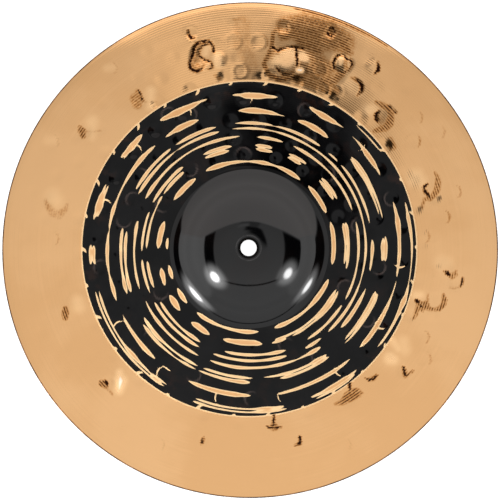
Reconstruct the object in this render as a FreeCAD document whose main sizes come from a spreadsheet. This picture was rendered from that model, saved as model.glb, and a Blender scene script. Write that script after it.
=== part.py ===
"""Crash cymbal, 16 inch: one dished bronze sheet with a raised bell and a stand hole.

Frame, in millimetres: +Z is the cymbal's axis, with the bell on top. The origin is
the centre of the stand hole, halfway through the sheet.
"""
import FreeCAD, Part
import math
import os

import Sketcher
from FreeCAD import Vector

NODE = "cymbal"

# Driving dimensions. The sheet is turned from one profile: a flat land round the hole,
# the domed top of the bell, a hollow curve down from its flank, and the long bow.
SIZES = {
    "disc_diameter": 406.4,      # 16 inch
    "hole_diameter": 13.0,       # clears an 8 mm stand rod in its plastic sleeve
    "land_radius": 10.0,         # flat ring round the hole, where felts and washer seat
    "dome_curve": 58.0,          # radius of curvature of the bell's top
    "flank_radius": 49.8,        # where the dome turns into the hollow curve
    "hollow_curve": 31.0,        # radius of curvature at the foot of the bell
    "bell_radius": 69.4,         # where the bell runs out into the bow
    "bow_curve": 1280.0,         # radius of curvature of the bow
    "bell_thickness": 1.2,
    "rim_thickness": 0.7,
    "hole_bevel": 0.15,          # deburred edge of the hole
    "rim_round": 0.25,           # turned edge of the rim
}


def make_sheet(document):
    """The spreadsheet that every size is bound to."""
    sheet = document.addObject("Spreadsheet::Sheet", "Sizes")
    for row, (name, value) in enumerate(SIZES.items(), start=1):
        sheet.set(f"A{row}", name)
        sheet.set(f"B{row}", str(value))
        sheet.setAlias(f"B{row}", name)
    document.recompute()
    return sheet


def origin_plane(body, role):
    return next(item for item in body.Origin.OriginFeatures if item.Role == role)


def new_sketch(body, name, role):
    sketch = body.newObject("Sketcher::SketchObject", name)
    sketch.AttachmentSupport = [(origin_plane(body, role), "")]
    sketch.MapMode = "FlatFace"
    return sketch


def bind(sketch, name, formula, *constraint):
    """Adds a named dimension to the sketch and ties it to the sheet."""
    index = sketch.addConstraint(Sketcher.Constraint(*constraint))
    sketch.renameConstraint(index, name)
    sketch.setExpression(f"Constraints.{name}", formula)


def arc_between(centre, radius, start, end):
    """The arc of a circle that runs anticlockwise from one point to the other."""
    circle = Part.Circle(Vector(*centre, 0), Vector(0, 0, 1), radius)
    angles = [math.atan2(p[1] - centre[1], p[0] - centre[0]) for p in (start, end)]
    return Part.ArcOfCircle(circle, *angles)


def line_between(start, end):
    return Part.LineSegment(Vector(*start, 0), Vector(*end, 0))


def profile_points(sheet):
    """Corner points and arc centres of the half section, as (radius, height)."""
    rim = sheet.disc_diameter / 2
    top = sheet.bell_thickness / 2
    flank_slope = math.asin((sheet.flank_radius - sheet.land_radius) / sheet.dome_curve)
    foot_run = (sheet.bell_radius - sheet.flank_radius) / sheet.hollow_curve
    foot_slope = math.asin(math.sin(flank_slope) - foot_run)

    dome_centre = (sheet.land_radius, top - sheet.dome_curve)
    flank = (sheet.flank_radius, dome_centre[1] + sheet.dome_curve * math.cos(flank_slope))
    hollow_centre = (flank[0] + sheet.hollow_curve * math.sin(flank_slope),
                     flank[1] + sheet.hollow_curve * math.cos(flank_slope))
    foot = (sheet.bell_radius, hollow_centre[1] - sheet.hollow_curve * math.cos(foot_slope))
    bow_centre = (foot[0] - sheet.bow_curve * math.sin(foot_slope),
                  foot[1] - sheet.bow_curve * math.cos(foot_slope))
    rim_slope = math.asin((rim - bow_centre[0]) / sheet.bow_curve)
    rim_top = (rim, bow_centre[1] + sheet.bow_curve * math.cos(rim_slope))

    def under(point, slope):
        """The point one bell thickness below, square to the sheet."""
        return (point[0] - sheet.bell_thickness * math.sin(slope),
                point[1] - sheet.bell_thickness * math.cos(slope))

    return {
        "axis_top": (0, top), "land_top": (sheet.land_radius, top),
        "flank_top": flank, "foot_top": foot, "rim_top": rim_top,
        "axis_under": (0, -top), "land_under": (sheet.land_radius, -top),
        "flank_under": under(flank, flank_slope), "foot_under": under(foot, foot_slope),
        "rim_under": (rim, rim_top[1] - sheet.rim_thickness),
        "dome_centre": dome_centre, "hollow_centre": hollow_centre,
        "bow_centre": bow_centre,
    }


def sheet_profile(body, sheet):
    """Half section of the tapered sheet, fully constrained, ready to turn round the axis."""
    sketch = new_sketch(body, "SheetProfile", "XZ_Plane")
    at = profile_points(sheet)
    dome, hollow, bow = at["dome_centre"], at["hollow_centre"], at["bow_centre"]
    thick = sheet.bell_thickness
    start, end, middle = 1, 2, 3

    land_top = sketch.addGeometry(line_between(at["axis_top"], at["land_top"]))
    dome_top = sketch.addGeometry(
        arc_between(dome, sheet.dome_curve, at["flank_top"], at["land_top"]))
    hollow_top = sketch.addGeometry(
        arc_between(hollow, sheet.hollow_curve, at["flank_top"], at["foot_top"]))
    bow_top = sketch.addGeometry(
        arc_between(bow, sheet.bow_curve, at["rim_top"], at["foot_top"]))
    rim = sketch.addGeometry(line_between(at["rim_top"], at["rim_under"]))
    bow_under = sketch.addGeometry(
        arc_between(bow, sheet.bow_curve - thick, at["rim_under"], at["foot_under"]))
    hollow_under = sketch.addGeometry(
        arc_between(hollow, sheet.hollow_curve + thick, at["flank_under"], at["foot_under"]))
    dome_under = sketch.addGeometry(
        arc_between(dome, sheet.dome_curve - thick, at["flank_under"], at["land_under"]))
    land_under = sketch.addGeometry(line_between(at["land_under"], at["axis_under"]))
    axis = sketch.addGeometry(line_between(at["axis_under"], at["axis_top"]))
    foot_normal = sketch.addGeometry(line_between(hollow, at["foot_under"]), True)

    smooth_joints = [
        (land_top, end, dome_top, end), (dome_top, start, hollow_top, start),
        (hollow_top, end, bow_top, end), (bow_under, end, hollow_under, end),
        (hollow_under, start, dome_under, start), (dome_under, end, land_under, start),
    ]
    corners = [
        (bow_top, start, rim, start), (rim, end, bow_under, start),
        (land_under, end, axis, start), (axis, end, land_top, start),
        (hollow_top, middle, hollow_under, middle),
        (hollow_top, middle, foot_normal, start), (foot_normal, end, hollow_under, end),
    ]
    for joint in smooth_joints:
        sketch.addConstraint(Sketcher.Constraint("Tangent", *joint))
    for corner in corners:
        sketch.addConstraint(Sketcher.Constraint("Coincident", *corner))
    for line in (land_top, land_under):
        sketch.addConstraint(Sketcher.Constraint("Horizontal", line))
    sketch.addConstraint(Sketcher.Constraint("Vertical", rim))
    sketch.addConstraint(Sketcher.Constraint("PointOnObject", axis, start, -2))
    sketch.addConstraint(Sketcher.Constraint("Symmetric", axis, start, axis, end, -1, 1))
    sketch.addConstraint(Sketcher.Constraint("PointOnObject", hollow_top, end, foot_normal))

    bind(sketch, "thickness", "Sizes.bell_thickness", "DistanceY", axis, start, axis, end, thick)
    bind(sketch, "land", "Sizes.land_radius", "DistanceX", -1, 1, land_top, end,
         sheet.land_radius)
    bind(sketch, "land_below", "Sizes.land_radius", "DistanceX", -1, 1, land_under, start,
         sheet.land_radius)
    bind(sketch, "dome", "Sizes.dome_curve", "Radius", dome_top, sheet.dome_curve)
    bind(sketch, "dome_below", "Sizes.dome_curve - Sizes.bell_thickness", "Radius", dome_under,
         sheet.dome_curve - thick)
    bind(sketch, "flank", "Sizes.flank_radius", "DistanceX", -1, 1, dome_top, start,
         sheet.flank_radius)
    bind(sketch, "hollow", "Sizes.hollow_curve", "Radius", hollow_top, sheet.hollow_curve)
    bind(sketch, "bell", "Sizes.bell_radius", "DistanceX", -1, 1, hollow_top, end,
         sheet.bell_radius)
    bind(sketch, "bow", "Sizes.bow_curve", "Radius", bow_top, sheet.bow_curve)
    bind(sketch, "disc", "Sizes.disc_diameter / 2", "DistanceX", -1, 1, rim, start,
         sheet.disc_diameter / 2)
    bind(sketch, "edge", "Sizes.rim_thickness", "DistanceY", rim, end, rim, start,
         sheet.rim_thickness)
    return sketch


def edges_of_radius(shape, radius):
    """Names of the circular edges of that radius which lie round the axis."""
    return [f"Edge{number}" for number, edge in enumerate(shape.Edges, start=1)
            if isinstance(edge.Curve, Part.Circle) and abs(edge.Curve.Radius - radius) < 1e-4]


def make_cymbal(document, sheet):
    """Turned sheet, punched hole, deburred hole edges and a rounded rim."""
    body = document.addObject("PartDesign::Body", "Cymbal")
    body.Label = NODE
    body.Placement = FreeCAD.Placement()

    profile = sheet_profile(body, sheet)
    turned = body.newObject("PartDesign::Revolution", "TurnedSheet")
    turned.Profile = profile
    turned.ReferenceAxis = (profile, ["V_Axis"])
    turned.Angle = 360
    profile.Visibility = False
    document.recompute()

    outline = new_sketch(body, "HoleOutline", "XY_Plane")
    circle = outline.addGeometry(
        Part.Circle(Vector(0, 0, 0), Vector(0, 0, 1), sheet.hole_diameter / 2))
    outline.addConstraint(Sketcher.Constraint("Coincident", circle, 3, -1, 1))
    bind(outline, "hole", "Sizes.hole_diameter", "Diameter", circle, sheet.hole_diameter)
    hole = body.newObject("PartDesign::Pocket", "StandHole")
    hole.Profile = outline
    hole.Type = "ThroughAll"
    hole.Midplane = True
    document.recompute()

    bevel = body.newObject("PartDesign::Chamfer", "HoleBevel")
    bevel.Base = (hole, edges_of_radius(hole.Shape, sheet.hole_diameter / 2))
    bevel.setExpression("Size", "Sizes.hole_bevel")
    document.recompute()

    rounding = body.newObject("PartDesign::Fillet", "RimRound")
    rounding.Base = (bevel, edges_of_radius(bevel.Shape, sheet.disc_diameter / 2))
    rounding.setExpression("Radius", "Sizes.rim_round")
    body.Tip = rounding
    document.recompute()

    steps = [turned, hole, bevel, rounding]
    volumes = [step.Shape.Volume for step in steps]
    if volumes != sorted(volumes, reverse=True) or len(set(volumes)) != len(steps):
        raise RuntimeError(f"a cut removed nothing: {volumes}")
    return body


def check(document, bodies):
    """Stops if any object failed, a sketch is loose or a body is not one valid solid."""
    for item in document.Objects:
        if {"Invalid", "Error"} & set(item.State):
            raise RuntimeError(f"{item.Name} failed: {item.State}")
        if item.isDerivedFrom("Sketcher::SketchObject") and not item.FullyConstrained:
            raise RuntimeError(f"{item.Name} is not fully constrained")
    for body in bodies:
        shape = body.Shape
        if shape.isNull() or not shape.isValid() or len(shape.Solids) != 1:
            raise RuntimeError(f"{body.Label} is not one valid solid")


def main():
    document = FreeCAD.newDocument("CrashCymbal")
    sheet = make_sheet(document)
    bodies = [make_cymbal(document, sheet)]
    document.recompute()
    check(document, bodies)
    os.makedirs("parts", exist_ok=True)
    for body in bodies:
        box = body.Shape.BoundBox
        print(f"{body.Label}: volume {body.Shape.Volume:.1f} mm3, diameter {box.XLength:.2f} mm,"
              f" from Z {box.ZMin:.3f} to {box.ZMax:.3f} mm")
        body.Shape.exportStep(f"parts/{body.Label}.step")


main()
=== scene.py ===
"""Crash cymbal, 16 inch: the visual model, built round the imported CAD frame.

One closed bronze sheet replaces the CAD node. It has the same turned profile, and adds
the hammer marks, the lathe's cuts through the dark patina, and the materials.
Lengths are in millimetres until the mesh is made, and azimuths are in degrees,
counterclockwise from +X seen from above.
"""

import math

import bpy
import numpy as np
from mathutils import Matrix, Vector

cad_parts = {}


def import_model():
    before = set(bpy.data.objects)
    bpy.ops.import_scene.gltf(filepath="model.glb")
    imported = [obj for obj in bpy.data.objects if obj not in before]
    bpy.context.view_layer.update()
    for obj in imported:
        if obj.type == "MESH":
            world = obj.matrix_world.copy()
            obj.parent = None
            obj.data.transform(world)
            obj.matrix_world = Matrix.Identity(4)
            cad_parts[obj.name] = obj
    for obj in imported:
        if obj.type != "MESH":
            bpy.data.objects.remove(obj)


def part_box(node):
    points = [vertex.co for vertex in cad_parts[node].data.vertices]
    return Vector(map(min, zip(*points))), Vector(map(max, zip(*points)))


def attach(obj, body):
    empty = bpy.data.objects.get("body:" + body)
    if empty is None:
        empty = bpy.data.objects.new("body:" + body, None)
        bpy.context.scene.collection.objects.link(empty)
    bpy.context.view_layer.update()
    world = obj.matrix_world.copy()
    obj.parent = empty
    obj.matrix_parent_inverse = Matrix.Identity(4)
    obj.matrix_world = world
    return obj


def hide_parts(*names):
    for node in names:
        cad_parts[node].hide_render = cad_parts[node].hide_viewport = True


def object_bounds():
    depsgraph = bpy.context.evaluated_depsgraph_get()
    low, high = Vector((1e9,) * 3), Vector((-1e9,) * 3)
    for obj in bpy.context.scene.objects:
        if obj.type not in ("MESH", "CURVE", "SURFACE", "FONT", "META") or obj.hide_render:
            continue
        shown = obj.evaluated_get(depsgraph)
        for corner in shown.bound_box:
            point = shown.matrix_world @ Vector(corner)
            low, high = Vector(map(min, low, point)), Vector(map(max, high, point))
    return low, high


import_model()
CAD_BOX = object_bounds()

NODE = "cymbal"
MM = 0.001

# ---- the turned profile

NODE_LOW, NODE_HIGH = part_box(NODE)
RIM = NODE_HIGH.x / MM  # outer radius of the disc
TOP = NODE_HIGH.z / MM  # height of the land round the hole
HOLE = 6.5  # radius of the stand hole
HOLE_BEVEL = 0.15
LAND = 10.0  # outer radius of the flat land round the hole
DOME_CURVE = 58.0  # radius of curvature of the bell's top
FLANK = 49.8  # where the dome turns into the hollow curve
HOLLOW_CURVE = 31.0  # radius of curvature at the foot of the bell
BELL = 69.4  # where the bell runs out into the bow
BOW_CURVE = 1280.0  # radius of curvature of the bow
BELL_THICKNESS = 1.2
RIM_THICKNESS = 0.7
RIM_ROUND = 0.25
FLANK_TILT = (FLANK - LAND) / DOME_CURVE  # sine of the slope there
FOOT_TILT = FLANK_TILT - (BELL - FLANK) / HOLLOW_CURVE


def cosine(tilt):
    return np.sqrt(1 - np.square(tilt))


def face_tilt(r):
    """Sine of the top face's slope, downwards with growing radius."""
    dome = np.clip(r - LAND, 0, FLANK - LAND) / DOME_CURVE
    hollow = np.clip(r - FLANK, 0, BELL - FLANK) / HOLLOW_CURVE
    bow = np.clip(r - BELL, 0, None) / BOW_CURVE
    return dome - hollow + bow


def face_height(r):
    """Height of the top face."""
    dome = DOME_CURVE * (1 - cosine(np.clip(r - LAND, 0, FLANK - LAND) / DOME_CURVE))
    hollow_tilt = FLANK_TILT - np.clip(r - FLANK, 0, BELL - FLANK) / HOLLOW_CURVE
    hollow = HOLLOW_CURVE * (cosine(hollow_tilt) - cosine(FLANK_TILT))
    bow_tilt = FOOT_TILT + np.clip(r - BELL, 0, None) / BOW_CURVE
    bow = BOW_CURVE * (cosine(FOOT_TILT) - cosine(bow_tilt))
    return TOP - dome - hollow - bow


def sheet_thickness(r):
    taper = np.clip((r - BELL) / (RIM - BELL), 0, 1)
    return BELL_THICKNESS + (RIM_THICKNESS - BELL_THICKNESS) * taper


# ---- hammer marks

# Rings of marks from the hammering machine: radius, first azimuth, step, width, depth.
MARK_RINGS = [
    (184.5, 9.5, 12, 6.8, 0.08),
    (169.5, 3.5, 12, 6.8, 0.09),
    (157.0, 9.5, 12, 6.6, 0.09),
    (141.5, 2.0, 24, 7.0, 0.27),
    (139.3, 14.0, 24, 7.0, 0.27),
    (123.5, 8.0, 12, 7.2, 0.62),
    (106.0, 2.0, 12, 6.8, 0.50),
    (91.0, 8.0, 15, 6.4, 0.40),
    (77.0, 2.0, 18, 6.0, 0.34),
]

# Deep blows by hand in the bright zone: azimuth, radius, half width, how far they push the
# sheet down. Where the number is below 0 the blow came from underneath.
DEEP_MARKS = [
    (20.5, 152, 12, -0.25), (15.5, 157, 7, 0.45), (46.5, 150, 11, 0.20), (59.5, 157, 9.5, -0.12),
    (56, 181, 8, -0.14), (63.5, 171, 8, -0.38), (69.5, 190, 5, 0.40), (80, 158, 12, -0.28),
    (73, 159, 10, -0.24), (81, 184, 8, 0.12), (104, 163, 13, 0.60), (99, 158, 8, -0.25),
    (105, 183, 5.5, 0.35), (126.5, 152, 9, 0.45), (144, 167, 9, 0.40), (166.5, 163, 12, -0.40),
    (198.5, 153, 11, -0.25), (223.5, 159, 6.5, 0.45), (225.5, 150, 8.5, -0.35),
    (256.5, 160, 5, 0.30), (284.5, 161, 6, 0.40), (278.5, 141, 9, 0.45), (304, 144, 11, 0.50),
    (314, 143, 7, -0.35), (322, 147, 9.5, -0.25), (321.5, 160, 6.5, 0.45), (343.5, 144, 10, 0.50),
    (340.5, 158, 7.5, -0.30), (354, 160, 9.5, -0.45), (350, 170, 7, 0.30),
]

# Creases round the deep blows, sunk into the sheet and also painted dark as shade, with a halo of painted
# shade: azimuth and radius of the blow, then points of the stroke as (mm along +X, mm along +Y, width)
# from there.
CREASES = [
    (18.5, 154, [(-0.9, 4, 1.2), (-3.4, 2.1, 1.7), (-3.7, 0, 1.8), (-2.1, -2.6, 2.4), (0.9, -6.4, 1.6)]),
    (45, 150, [(-0.5, 6.7, 1.6), (-2.7, 4.3, 2), (-2.9, 0.9, 1.9), (-1.4, -2.1, 1.5)]),
    (45, 150, [(7.6, 11.6, 0.8), (13.6, 5.6, 0.9)]),
    (57, 160, [(-0.6, 5.1, 0.9), (3.3, 2.1, 1.6), (5, -1.3, 2.3), (4.5, -4.7, 2.4), (1.5, -8, 1.1)]),
    (55.5, 181, [(2.2, 4.4, 0.9), (3.4, 1, 1.6), (2.6, -3, 2.4), (0.2, -5.6, 1.1)]),
    (352.5, 163, [(-2.4, 2.6, 1.4), (-0.3, 1.7, 2.8), (1.6, 0, 1.6)]),
    (352.5, 163, [(12.2, -2.1, 1.1), (11.9, -6.9, 1.5), (10.4, -9.4, 0.8)]),
    (343, 146, [(-3.4, 0.4, 2.4), (-1.8, -0.6, 2.8)]),
    (343, 146, [(-1.8, -0.6, 1.6), (0.9, -5.1, 1.2), (1.3, -8.1, 0.7)]),
    (321.5, 160, [(0.3, 2.7, 2.2), (1.2, 0.1, 2.1), (1.6, -3.8, 1.5), (4.6, -2.1, 1.3), (8.1, 0.5, 0.7)]),
    (284.5, 161, [(0.9, 3.1, 1.6), (1.1, 0.1, 2.2), (0.3, -2.9, 1.9), (-3.2, -4.2, 0.8)]),
    (223, 160, [(-5.4, 0.9, 0.8), (-3.3, 0.9, 1.2), (-0.7, 1.8, 1.4), (1, -0.8, 1.5), (0.2, -3.3, 1.1)]),
    (256.5, 160, [(-0.3, 1.7, 1.2), (-0.9, -1.3, 2.2), (-1.7, -3, 1.3)]),
    (278.5, 142, [(-0.9, 4.7, 1.5), (-1.1, 1.3, 1.5), (-1.4, -3, 1.9)]),
    (278.5, 142, [(-6.9, -4.3, 0.7), (-3.5, -5.1, 1.3), (-0.1, -5.4, 1.4), (5, -4.3, 0.7)]),
    (304, 144, [(1.1, 9.9, 1.6), (1.1, 5.6, 1.5), (0.3, 1.3, 0.9)]),
    (314, 144, [(-5.4, -1.7, 0.8), (-2.4, -3.2, 1.5), (1, -2.1, 1.7), (4, 0.9, 0.9)]),
    (127, 151, [(-0.9, 9.9, 1), (1.7, 6.1, 1.5), (3.4, 0.9, 1.3)]),
    (105.5, 183, [(-1.4, 3.5, 1.3), (-0.9, 0, 2.1), (1.2, -3.3, 2.3), (3.3, -2.5, 1.3)]),
    (104, 162, [(10, 4.9, 1.8), (9.6, 8.3, 1.5), (8.3, 11.7, 1.5), (4.9, 13.9, 1.8), (-0.3, 13.5, 2),
     (-4.1, 11.3, 2.2), (-6.3, 7.5, 2.3), (-7.1, 3.2, 2.1), (-8.4, -1.1, 1.8), (-10.1, -5.4, 1.9),
     (-8.8, -9.3, 2.2), (-3.7, -11.8, 2), (-0.3, -9.7, 1.5), (1.9, -7.1, 1.1)]),
    (104, 162, [(-2.4, 1.5, 1.1), (-2, 6.6, 1.5), (0.6, 10, 1.4), (4.9, 11.3, 1.1)]),
    (104, 162, [(-2.4, 1.5, 1.1), (2.3, -2, 1.4), (7.5, -3.7, 1), (9.2, -8.4, 1.1), (5.7, -9.7, 0.8)]),
    (78, 158, [(5, 11.2, 1.6), (5.8, 5.2, 2), (6.3, -1.6, 1.8), (6.3, -5, 1.5)]),
    (78, 158, [(-14.3, 11.2, 1.3), (-9.2, 7.8, 1.9), (-7.5, 9.5, 1.4), (-0.6, 11.2, 1.2), (5, 11.2, 1.6),
     (12, 9.5, 1)]),
    (78, 158, [(-10.9, -5.9, 0.7), (-7.5, -10.2, 1), (-4, -12.8, 1.1), (-0.6, -12.8, 0.9),
     (2.8, -10.2, 0.6)]),
    (63.5, 172, [(-0.4, 5.7, 1.4), (-5.6, 4, 1.6), (-8.1, -1.1, 1.7), (-7.3, -6.3, 1.4), (-3.9, -8.4, 1.1),
     (0.4, -9.7, 1.1), (4.7, -7.1, 1.2), (7.5, -2.8, 1.3), (6.4, 0.6, 1.5), (3.4, 1.5, 1.8), (1.3, 4, 1.2),
     (-0.4, 5.7, 1.4)]),
    (81, 184, [(1.3, 4, 0.8), (2.4, -0.3, 1.3), (1.8, -4.4, 0.8)]),
    (69.5, 190, [(-0.2, 4.9, 1.4), (-2.3, 0.6, 1.9), (-2.3, -2, 2), (0.3, -3.3, 1.8), (2.8, -1.1, 1.8),
     (3.3, 2.3, 1.5), (-0.2, 4.9, 1.4)]),
]

# Painted dark reflections round the hammer marks, soft and brown, hatched along the lathe's grooves: the
# same, with the strength of the painted reflection after the radius.
PAINTED_REFLECTIONS = [
    (18.5, 154, 0.60, [(5.1, 14.1, 2), (7.5, 9.9, 4), (8.1, 4.7, 6), (6.9, -0.9, 6), (4.3, -5.1, 5),
     (1.3, -7.5, 5), (-3.4, -8, 3), (-5.1, -15, 3)]),
    (45, 150, 0.75, [(-2.7, 14.1, 3), (2.5, 11.6, 5), (6.8, 9.9, 5), (9.3, 7.3, 5), (9.8, 2.1, 6),
     (8.5, -3.4, 7), (5.1, -7.3, 6), (0, -8.6, 5), (-4.4, -9.9, 3)]),
    (45, 150, 0.22, [(0, 2, 6), (3, -2, 11)]),
    (36.7, 144.5, 0.55, [(-1, 3, 5), (1, -3, 7)]),
    (100.4, 143.5, 0.50, [(-2, 1, 3), (1, -1, 4)]),
    (93, 189, 0.30, [(-5, -1, 2), (0, 1, 3), (6, 0, 2)]),
    (57, 160, 0.60, [(-4, 6, 2), (-0.6, 5.1, 4), (3.3, 2.1, 5), (5, -1.3, 4)]),
    (352.5, 163, 0.60, [(1.6, 0, 3), (3.5, -0.6, 6), (6, 0.2, 5), (7, 3.9, 2)]),
    (352.5, 163, 0.25, [(12, -3, 2), (10, -9.9, 2), (5.7, -10.7, 2), (1.9, -9.9, 2)]),
    (343, 146, 0.65, [(-2.1, -1.2, 2), (-2.6, -5.9, 4), (-3.9, -10.2, 4), (-6, -14.5, 2)]),
    (343, 146, 0.70, [(-1.3, -1.6, 4), (1.5, -3.5, 8), (4.3, -2.5, 6), (5.1, -5, 5), (9, -6.8, 3),
     (13.3, -5.9, 2.5), (15, -4.2, 2)]),
    (343, 146, 0.80, [(7.7, -5, 1.5), (12, -7, 2.5), (15.5, -6.3, 3.5), (18.5, -2.5, 4.5), (19.5, 1, 4.5),
     (18.2, 6.8, 1.5)]),
    (343, 146, 0.50, [(5.6, 6.1, 1.5), (5.4, 0.9, 3), (4.9, -3.3, 4)]),
    (321.5, 160, 0.35, [(1, 0, 5), (2, -4, 5)]),
    (223, 160, 0.85, [(-3.2, -0.6, 6), (-0.8, -1.6, 6)]),
    (223, 160, 0.30, [(1, -5, 2), (4.9, -9.3, 3)]),
    (199, 157, 0.95, [(-2.1, 2.2, 5), (-2.1, -1.2, 6.5), (-2.1, -4.6, 5)]),
    (168, 162, 0.26, [(-8.7, 6.6, 4), (-6.9, 2.3, 6), (-2.7, -3.7, 8), (2.5, -5.5, 8), (7.6, -1.1, 6),
     (9.3, 3.2, 3)]),
    (168, 162, 0.40, [(-7.6, 4.2, 2), (-6.4, 0.5, 3)]),
    (145, 167, 0.85, [(-2.3, 4.5, 3.5), (-0.8, 1.5, 6.5), (0.5, -3.5, 4)]),
    (145, 167, 0.22, [(2.8, 0.6, 2), (9, 0.8, 2.5), (14.8, 1.5, 2)]),
    (104, 162, 0.40, [(3, 12.5, 4), (-3, 9.5, 5), (-5.5, 2, 6), (-6, -5, 8), (-3, -8, 7)]),
    (104, 162, 0.28, [(-3, 0, 6), (3, -4, 6)]),
    (278.5, 142, 0.80, [(-1.2, -1, 3), (-1, -4, 8)]),
    (304, 144, 0.85, [(-10.9, -6.9, 2), (-4.9, -5.6, 5), (1.1, -0.4, 10), (6.3, 2.1, 9), (11.4, 2.1, 2)]),
    (314, 144, 0.60, [(-4, -2, 2), (0.5, -2, 5), (4, 1, 2)]),
    (127, 151, 0.50, [(-1.2, 8, 5), (-2, 3, 11), (-1, -2, 9)]),
    (127, 151, 0.22, [(4.3, 0, 2), (15, 0, 2)]),
    (78, 158, 0.95, [(-8, 27, 2), (-13, 23, 3), (-15, 10, 3), (-21, -3, 3.6), (-17, -12, 4), (-8, -16, 4),
     (10, -13, 3)]),
    (78, 158, 0.70, [(-6, 20, 8), (4, 23, 10), (12, 15, 12), (24, 8, 9)]),
    (73, 170, 0.66, [(-19, 20, 20), (-4.5, 18.5, 28), (14.2, 13, 28), (27.6, 7, 20)]),
    (73, 170, 0.62, [(-28, -4, 14), (-11, -7.4, 24), (5, -12.2, 22), (14, -15, 15)]),
    (73, 170, 0.85, [(-13, 35.3, 1), (-1, 32.7, 3), (25.7, 24, 3), (50.9, 11.7, 2), (62.9, 4.3, 1)]),
    (73, 170, 0.50, [(-19.3, -19.8, 10), (0.2, -25.4, 13), (20, -33, 10)]),
    (86, 172, 0.22, [(-18, 14, 16), (-18, -4, 18), (-10, -22, 14)]),
    (65.2, 184, 0.85, [(-3, 4, 5), (1, -1, 7), (4, -5, 5)]),
    (67, 160, 0.65, [(-2, -10, 8), (6, -9, 9), (13, -4, 6)]),
    (63.5, 172, 0.60, [(0, 12, 9), (6, 7, 6)]),
    (63.5, 172, 0.50, [(2, 1, 4), (1, -4, 5), (3, -6, 4)]),
    (69.5, 190, 0.90, [(0.3, 3, 4), (0.3, -1, 6)]),
]

# Faint arcs of painted shade on the far side of shallow marks: azimuth, radius and strength.
SHADED_ARC = [(1.5, 5.5, 1), (3.8, 3.5, 1.8), (4.6, 0.5, 2.4), (4, -2.8, 2), (2, -5, 1)]
PAINTED_REFLECTIONS += [(azimuth, radius, strength, SHADED_ARC) for azimuth, radius, strength in [
    (33, 161, 0.40), (15.5, 174.5, 0.35), (9.2, 161, 0.40), (4, 142.4, 0.35), (31.6, 182, 0.22),
    (38, 173.7, 0.28), (333, 159, 0.35), (328, 169, 0.30), (177, 161, 0.25), (151.3, 184, 0.20),
    (127.4, 187, 0.20), (245, 176, 0.15), (296, 178, 0.15), (86.5, 170, 0.45)]]

# Painted highlights: pale spots beside the blows that stand in for reflections, the same, with how pale
# they are after the radius.
PAINTED_HIGHLIGHTS = [
    (18.5, 154, 0.55, [(-9.5, 8.5, 17), (-6, 6, 12)]),
    (321.5, 160, 0.75, [(-10.5, 10.5, 11), (-8, 9.5, 9)]),
    (328, 148, 0.35, [(0, 3, 12), (1, -3, 12)]),
    (223, 160, 1.00, [(11.2, 8, 6), (12, 2, 11), (10.5, -6, 8)]),
    (199, 157, 0.40, [(8, 9, 12), (9, 4, 12)]),
    (168, 162, 0.45, [(-2, 9, 16), (1, 6, 12)]),
    (145, 167, 0.45, [(8, 9, 12), (8, -3.7, 7)]),
    (127, 151, 0.45, [(10, 8.5, 10), (9, -4, 8)]),
    (104, 162, 0.75, [(13, -1.5, 9), (14, -4.5, 9)]),
    (104, 162, 0.45, [(4, 7.5, 6), (3.5, 3, 6)]),
    (78, 158, 0.85, [(-9, 0, 14), (-3, 0, 20), (1, 3, 18)]),
    (78, 158, 0.75, [(10, 3, 13), (13, 1, 10)]),
    (78, 158, 1.00, [(7.2, -8, 7), (9.6, -8.2, 7)]),
    (63.5, 172, 0.70, [(-2, 1, 6), (-2.4, -2.5, 6)]),
    (57, 160, 0.22, [(-7, 1, 12), (-3, -1, 12)]),
    (45, 150, 0.50, [(-9, 8, 11), (-5, 9, 8)]),
    (343, 146, 0.50, [(-4, 4.5, 9), (0, 5, 7)]),
    (352.5, 163, 0.35, [(-5, 10, 14), (0, 10, 12)]),
    (56, 181, 0.15, [(-2, 0, 9), (-1, -2, 8)]),
    (81, 184, 0.35, [(0, 0, 10), (2, 0, 10)]),
    (151.3, 185, 0.25, [(-3, 1, 10), (2, 1, 10)]),
    (127.4, 187.5, 0.30, [(-3, 0, 8), (2, 1, 8)]),
    (326.5, 139.5, 0.45, [(0, 3, 8), (5, -4, 8)]),
]

# Marks whose rims stand up a little, each with a painted glint line along one side: azimuth and radius.
RIMMED_MARKS = [
    (19.5, 123), (68, 122), (62, 105), (85, 105), (114, 120), (121, 128), (146, 107), (157, 103),
    (167, 105), (187, 122), (222, 108), (246, 112), (271, 122), (303, 104), (329, 112), (352, 106),
    (68.6, 157.3), (81.2, 184), (87.7, 170), (61.5, 147), (65.5, 143.5), (94.5, 171), (83, 143),
    (338, 84), (291, 84), (206, 80), (153, 79), (126.5, 81), (93.5, 77), (44, 88), (12, 91),
    (327.5, 167), (330.5, 176), (349, 153), (10.5, 168), (4, 150), (93, 146), (30, 176), (33, 160),
]
RIMMED_RADIUS, RIMMED_HEIGHT = 5.8, 0.075
RIMMED_WIDTH, GLINT_WIDTH = 1.6, 0.9  # half widths of the raised rim and of its painted glint line

# Slow waves in the sheet: direction in radians, length and height in mm.
WAVES = [(0.4, 61, 0.050), (1.3, 47, 0.040), (2.2, 73, 0.055), (2.9, 39, 0.028), (0.9, 33, 0.020)]
FAR = 4.0  # distances from a stroke are held within this
CREASE_DEPTH = 0.14
CREASE_SIDE = (-0.8, 0.8)  # where a crease's side starts and ends, in mm inside its edge
FADE = (-0.35, 0.65)  # where a soft stroke starts and is full, in softnesses inside it
REFLECTION_SOFTNESS, HIGHLIGHT_SOFTNESS = 0.35, 0.75  # as a share of the stroke's width


def polar(azimuth, radius):
    angle = np.radians(azimuth)
    return radius * np.cos(angle), radius * np.sin(angle)


def smooth(value, low=0.0, high=1.0):
    """Goes smoothly from 0 to 1 as value goes from low to high."""
    part = np.clip((value - low) / (high - low), 0, 1)
    return part * part * (3 - 2 * part)


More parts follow.
